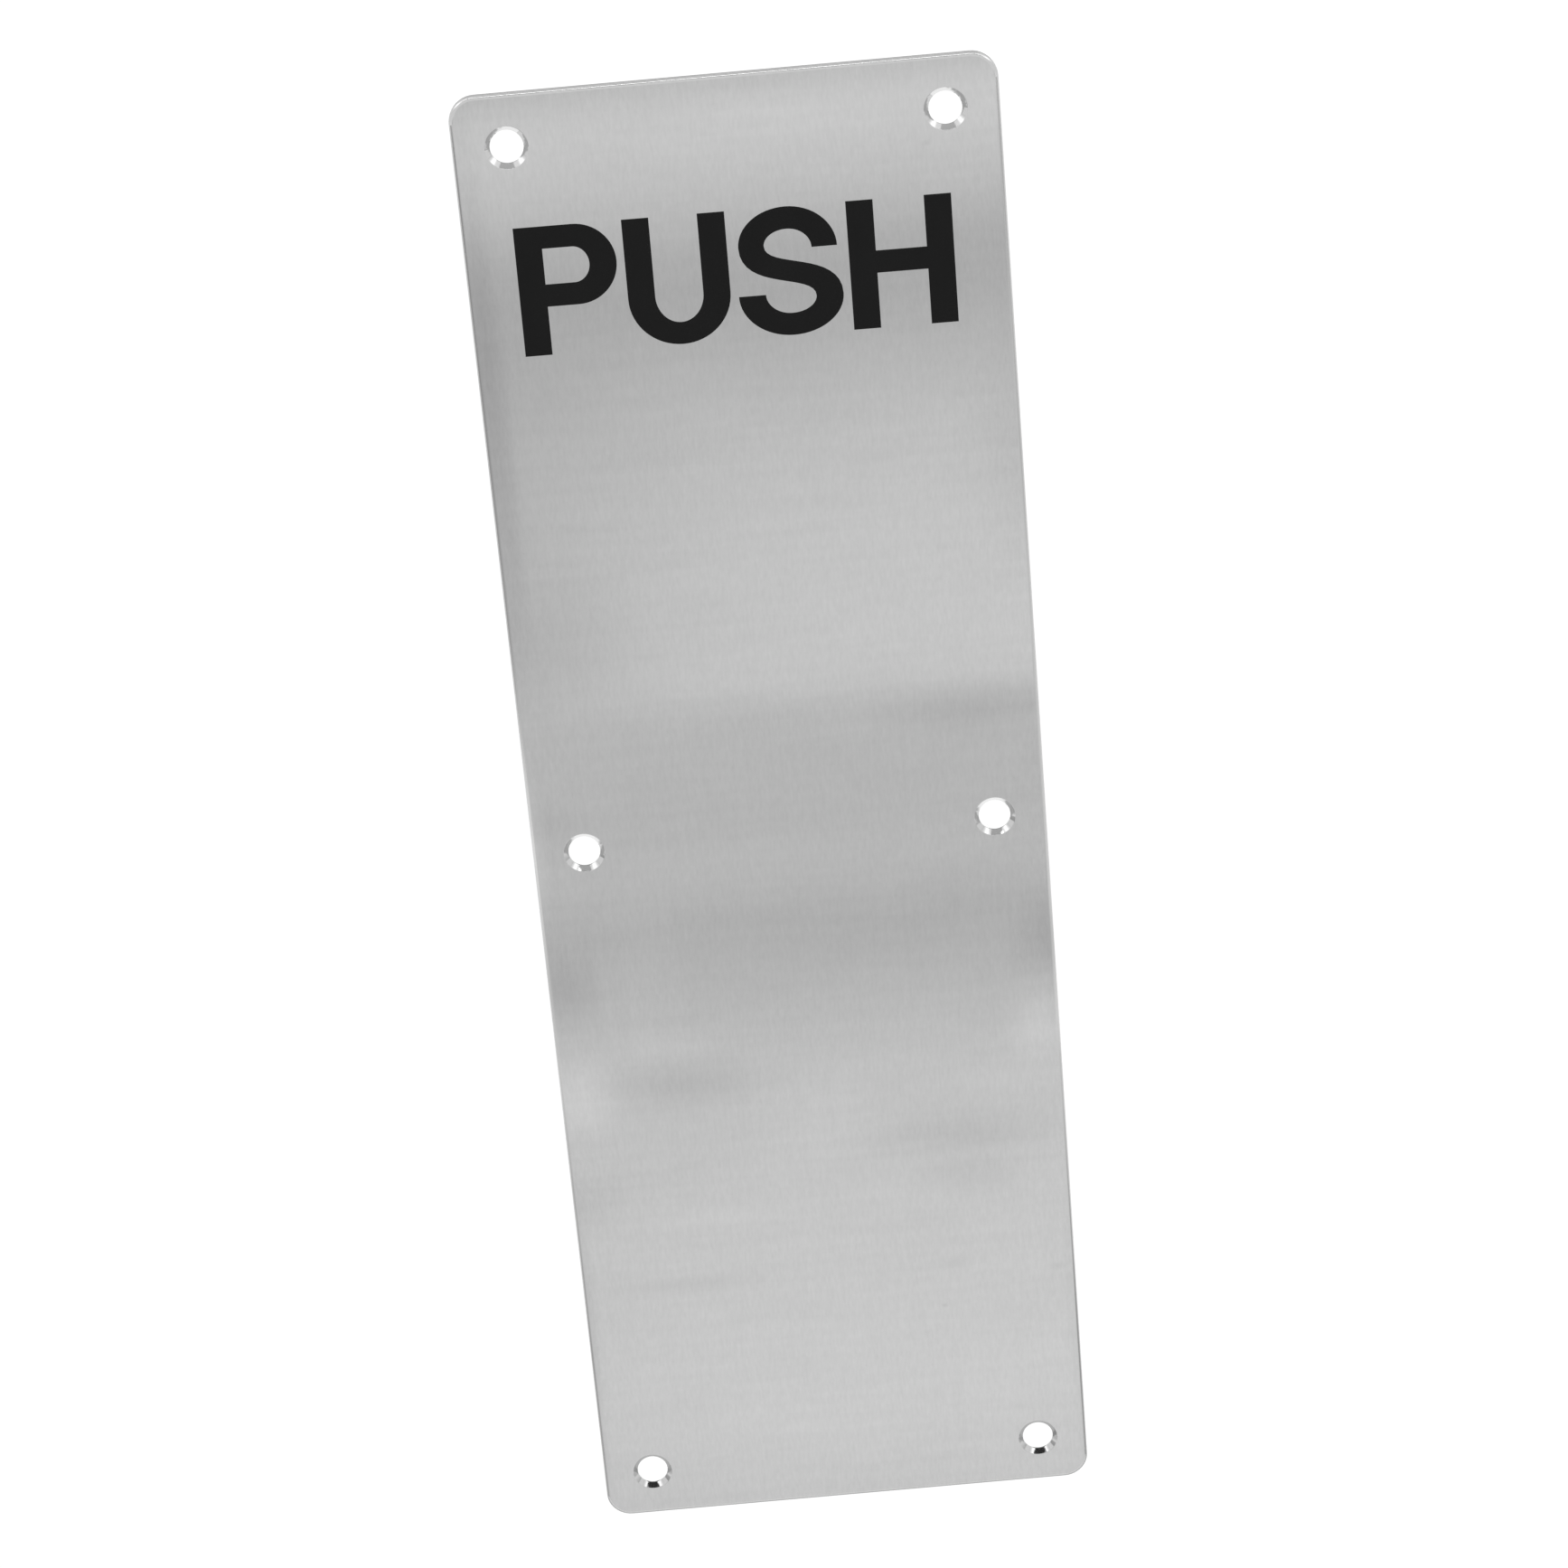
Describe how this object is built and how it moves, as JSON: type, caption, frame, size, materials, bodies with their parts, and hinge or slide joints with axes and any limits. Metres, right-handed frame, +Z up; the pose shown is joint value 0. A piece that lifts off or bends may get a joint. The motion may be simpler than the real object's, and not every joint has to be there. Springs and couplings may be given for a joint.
{
  "type": "door finger plate",
  "caption": "Flat brushed stainless steel finger plate with rounded corners, a softened front edge and countersunk screw holes down both long sides, fixed upright on a door to be pushed.",
  "frame": {"origin": "centre of the back face, the face that lies against the door", "axes": "+X to the right seen from the front, +Y into the door, +Z up the plate; the front face looks along -Y"},
  "size_m": [0.1, 0.0012, 0.3],
  "materials": {
    "brushed_stainless": "satin, with the grain running up the plate",
    "black_print": "thin flat black print on the front face"
  },
  "bodies": {
    "root": {"finger_plate": "brushed_stainless"}
  },
  "joints": []
}
